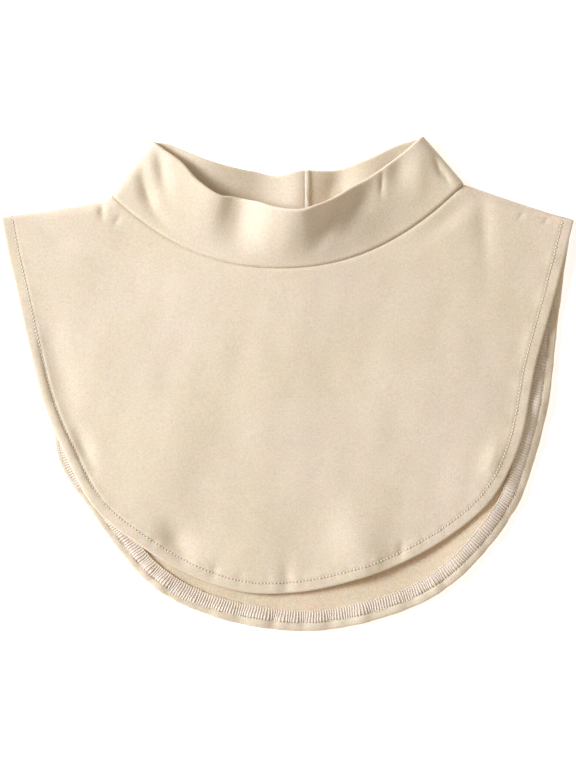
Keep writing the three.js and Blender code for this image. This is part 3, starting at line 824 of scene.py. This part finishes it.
def stitch_line(name, place, line, inset, offset, side, step, length, thickness):
    """A line of straight stitches along a hem, with a little gap after each one."""
    count = int(line.length / step)
    u = (np.arange(1, count - 1) + 0.5) / count
    half = length / 2 / line.length
    random = np.random.default_rng(7)
    sway = inset + random.normal(0, 0.08, (2, len(u)))
    centres, ups = stitch_runs(place, line, (u - half, u + half), sway, offset, side, 0.15)
    return thread_piece(name, [(centres, ups, thickness)], matching_thread)


front_stitches = stitch_line("front_hem_stitches", front_bib_at, front_line, FRONT_STITCH_LINE,
                             CLOTH / 2 + STITCH_SEAT, -1, STITCH_STEP, STITCH_LENGTH, STITCH_THREAD)


def overlock(name, place, line, hem, offset, side):
    """The overlock along a turned hem's cut edge: a bar and its thin return for each stitch, between
    the needle line and the cut edge, a looped thread along the cut edge, and the needle thread. It
    leaves out the ends, which the shoulder seams take in."""
    count = int(line.length / LADDER_STEP)
    u = (np.arange(SEAMED_STITCHES, count - SEAMED_STITCHES) + 0.5) / count
    random = np.random.default_rng(11)
    sway = random.normal(0, 0.14, (2, len(u)))
    pace = LADDER_STEP / line.length
    outer, inner = back_needle_inset(u) + sway[0], hem + 0.1 + sway[1]

    def run(start, end, first, last, bow, steps):
        """Stitches between two shares of each step and two distances in from the edge."""
        along = (u + start * pace, u + end * pace)
        return stitch_runs(place, line, along, (first, last), offset, side, bow, steps)

    bars = run(0.0, 0.35, outer, inner, 0.30, 9)
    returns = run(0.45, 0.9, inner, outer, 0.05, 9)
    loops = run(-0.35, 0.75, inner + 0.15, inner - 0.4, 0.25, 5)
    needles = run(-0.4, 0.4, outer, outer, 0.12, 5)
    groups = [
        (*bars, BAR_THREAD),
        (*returns, RETURN_THREAD),
        (*loops, LOOP_THREAD),
        (*needles, NEEDLE_THREAD),
    ]
    return thread_piece(name, groups, sewing_thread)


# The turned hem's face, as an offset from the middle of the bib's cloth
hem_face = -2 * TURN_RADIUS - CLOTH / 2
back_overlock = overlock("back_hem_overlock", back_bib_at, back_line, BACK_HEM, hem_face, 1)

# Parent every piece to the root body, and hide the solids that they replace
for piece in (front_bib, back_bib, collar, front_stitches, back_overlock):
    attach(piece, "root")
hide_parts("front_panel", "front_hem")
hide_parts("back_panel", "back_hem")
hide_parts("collar")

# Table, light and camera

TABLE_HALF = 1500.0  # millimetres from the table's middle to its sides
TABLE_LEVEL = -0.1  # just under the dickey


def table_top():
    """A pale table top, three metres square, just under the dickey."""
    material = bpy.data.materials.new("pale_table")
    material.use_nodes = True
    tree = material.node_tree
    shader = tree.nodes["Principled BSDF"]
    place = node(tree, "ShaderNodeTexCoord").outputs["Object"]
    shade = ranged(tree, noise(tree, place, 12.0, 2.0), 0.3, 0.7, 0.985, 1.0)
    tree.links.new(scaled_colour(tree, (0.93, 0.93, 0.93), shade), shader.inputs["Base Color"])
    shader.inputs["Roughness"].default_value = 0.8
    shader.inputs["Emission Color"].default_value = (1.0, 1.0, 1.0, 1.0)
    shader.inputs["Emission Strength"].default_value = 0.55
    shares = np.array([(-1, -1), (1, -1), (1, 1), (-1, 1)])
    corners = np.column_stack([shares * TABLE_HALF, np.full(4, TABLE_LEVEL)])
    return make_piece("table", corners, np.array([[0, 1, 2, 3]]), [material])


def soft_light(name, place, aim, size, power, colour):
    """A square lamp at a place, facing what it lights."""
    lamp = bpy.data.lights.new(name, "AREA")
    lamp.shape = "SQUARE"
    lamp.size = size
    lamp.energy = power
    lamp.color = colour
    light = bpy.data.objects.new(name, lamp)
    light.location = place
    direction = np.array(aim) - np.array(place)
    light.rotation_euler = (
        math.acos(-direction[2] / np.linalg.norm(direction)),
        0.0,
        math.atan2(direction[1], direction[0]) - math.pi / 2,
    )
    bpy.context.scene.collection.objects.link(light)


table_top()
soft_light("window", place=(-3.14, 0.80, 2.05), aim=(0.0, 0.0, 0.0), size=1.3, power=197.0,
           colour=(0.87, 0.91, 1.0))
room = bpy.data.worlds.new("room")
room.use_nodes = True
room.node_tree.nodes["Background"].inputs["Color"].default_value = (1.0, 0.89, 0.76, 1.0)
room.node_tree.nodes["Background"].inputs["Strength"].default_value = 0.48
bpy.context.scene.world = room
bpy.context.scene.view_settings.view_transform = "Standard"

LENS = 135.0  # focal length, in millimetres
SENSOR = 36.0
PHOTO_HEIGHT = 0.5093  # metres that the picture's 768 rows take in
PHOTO_LEVEL = 0.006  # height above the table at which they do
PHOTO_MIDDLE = 0.00033  # the picture's middle, across from the frame's origin
lens = bpy.data.cameras.new("camera")
lens.lens = LENS
lens.sensor_width = SENSOR
camera = bpy.data.objects.new("camera", lens)
camera.location = (PHOTO_MIDDLE, 0.0, LENS * PHOTO_HEIGHT / SENSOR + PHOTO_LEVEL)
bpy.context.scene.collection.objects.link(camera)
bpy.context.scene.camera = camera
